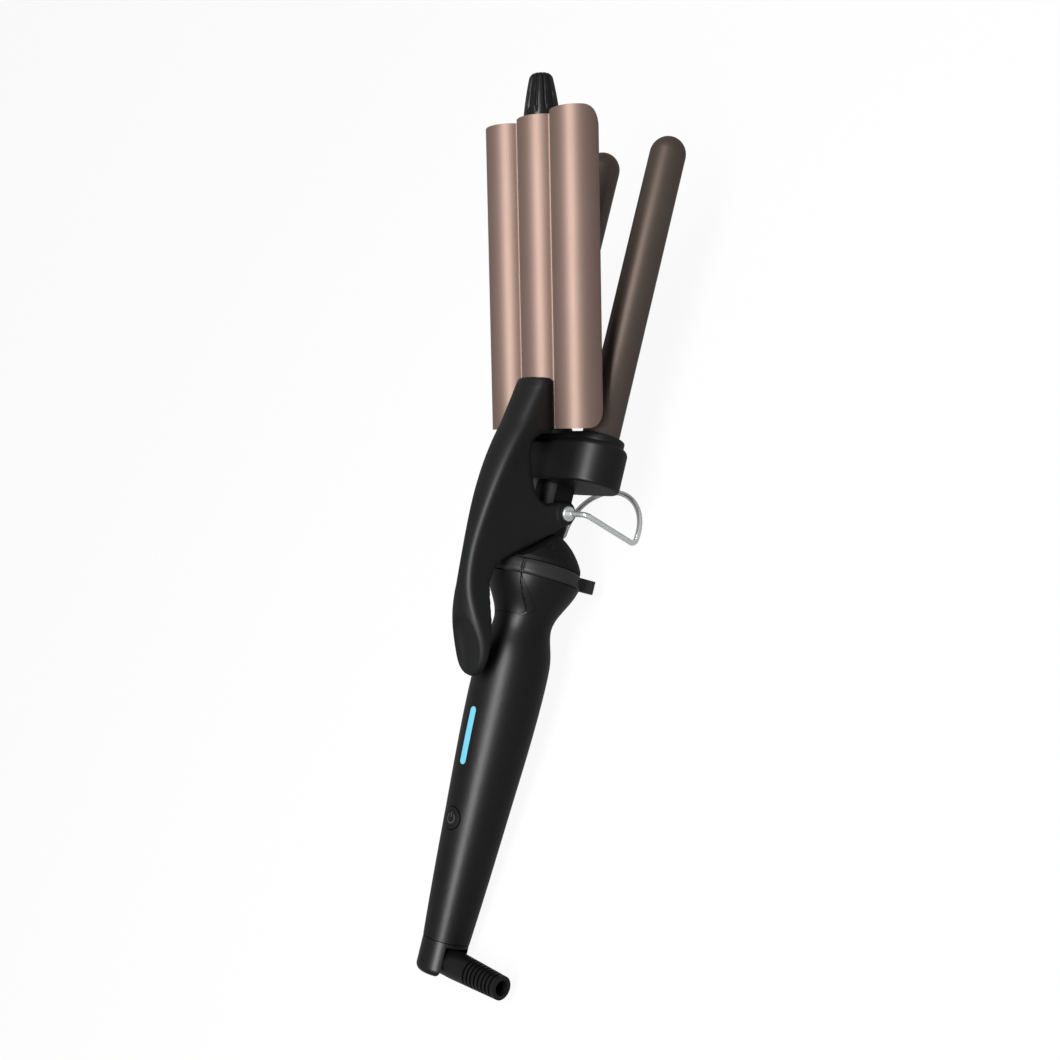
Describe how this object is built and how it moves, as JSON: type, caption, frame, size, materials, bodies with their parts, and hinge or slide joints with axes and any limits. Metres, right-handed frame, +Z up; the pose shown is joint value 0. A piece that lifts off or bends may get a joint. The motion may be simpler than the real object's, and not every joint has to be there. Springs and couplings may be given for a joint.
{
  "type": "hair waver",
  "caption": "Hair waving iron with fixed round barrels, a lever clamp with a scalloped plate and cool tip, turned handle with power button, selector ring, wire stand and swivel cord guard.",
  "frame": {"origin": "middle of the bounding box, on the table that the tool lies on", "axes": "+X towards the tips of the barrels, +Z up, the cord guard points to -Y; the tool leans tip up on its wire stand and its end cap"},
  "size_m": [0.3378, 0.065, 0.1123],
  "materials": {
    "wave_plate": "satin anodised rose gold",
    "barrel": "satin bronze coating",
    "black_satin": "satin black",
    "soft_touch": "matt soft-touch black",
    "gloss_black": "polished black",
    "light": "translucent cyan light bar",
    "chrome": "polished",
    "steel": "bright zinc",
    "heater": "ceramic-filled plate",
    "board": "green laminate",
    "guard": "matt"
  },
  "bodies": {
    "handle": {"handle_shell_front": "soft_touch", "handle_shell_rear": "soft_touch", "handle_screws": "steel", "panel_inlay": "gloss_black", "light_pipe": "light", "circuit_board": "board", "tact_switch": "gloss_black", "hinge_body": "black_satin", "barrel_block": "black_satin", "block_screws": "steel", "barrel_left": "barrel", "barrel_right": "barrel", "collar_left": "black_satin", "collar_right": "black_satin", "heater_left": "heater", "heater_right": "heater", "hinge_pin": "chrome", "torsion_spring": "steel"},
    "clamp": {"wave_plate": "wave_plate", "clamp_lever": "black_satin", "cool_tip": "gloss_black", "heater_centre": "heater", "tube_screws": "steel"},
    "stand": {"stand_wire": "chrome"},
    "selector": {"selector_ring": "black_satin"},
    "button": {"power_button": "gloss_black"},
    "cap": {"swivel_cap": "gloss_black", "relief_pins": "steel"},
    "guard": {"strain_relief": "guard"}
  },
  "joints": [
    {"name": "clamp_hinge", "type": "hinge", "parent": "handle", "child": "clamp", "pos_m": [0.01104, 0.002, 0.0313], "axis": [0, 1, 0], "range_deg": [0, 20]},
    {"name": "stand_fold", "type": "hinge", "parent": "handle", "child": "stand", "pos_m": [0.01104, 0.002, 0.0313], "axis": [0, 1, 0], "range_deg": [0, 62]},
    {"name": "selector_turn", "type": "hinge", "parent": "handle", "child": "selector", "pos_m": [-0.01366, 0.002, 0.02816], "axis": [0.992, 0, 0.1261], "range_deg": [0, 32]},
    {"name": "button_press", "type": "slide", "parent": "handle", "child": "button", "axis": [0.1261, 0, -0.992], "range_m": [0, 0.0008], "stiffness_N_per_m": 400, "springref_m": -0.003},
    {"name": "cap_swivel", "type": "hinge", "parent": "handle", "child": "cap", "pos_m": [-0.15562, 0.002, 0.01011], "axis": [0.992, 0, 0.1261], "continuous": true},
    {"name": "guard_tilt", "type": "hinge", "parent": "cap", "child": "guard", "pos_m": [-0.16246, 0.002, 0.00924], "axis": [0.1261, 0, -0.992], "range_deg": [0, 90]}
  ]
}
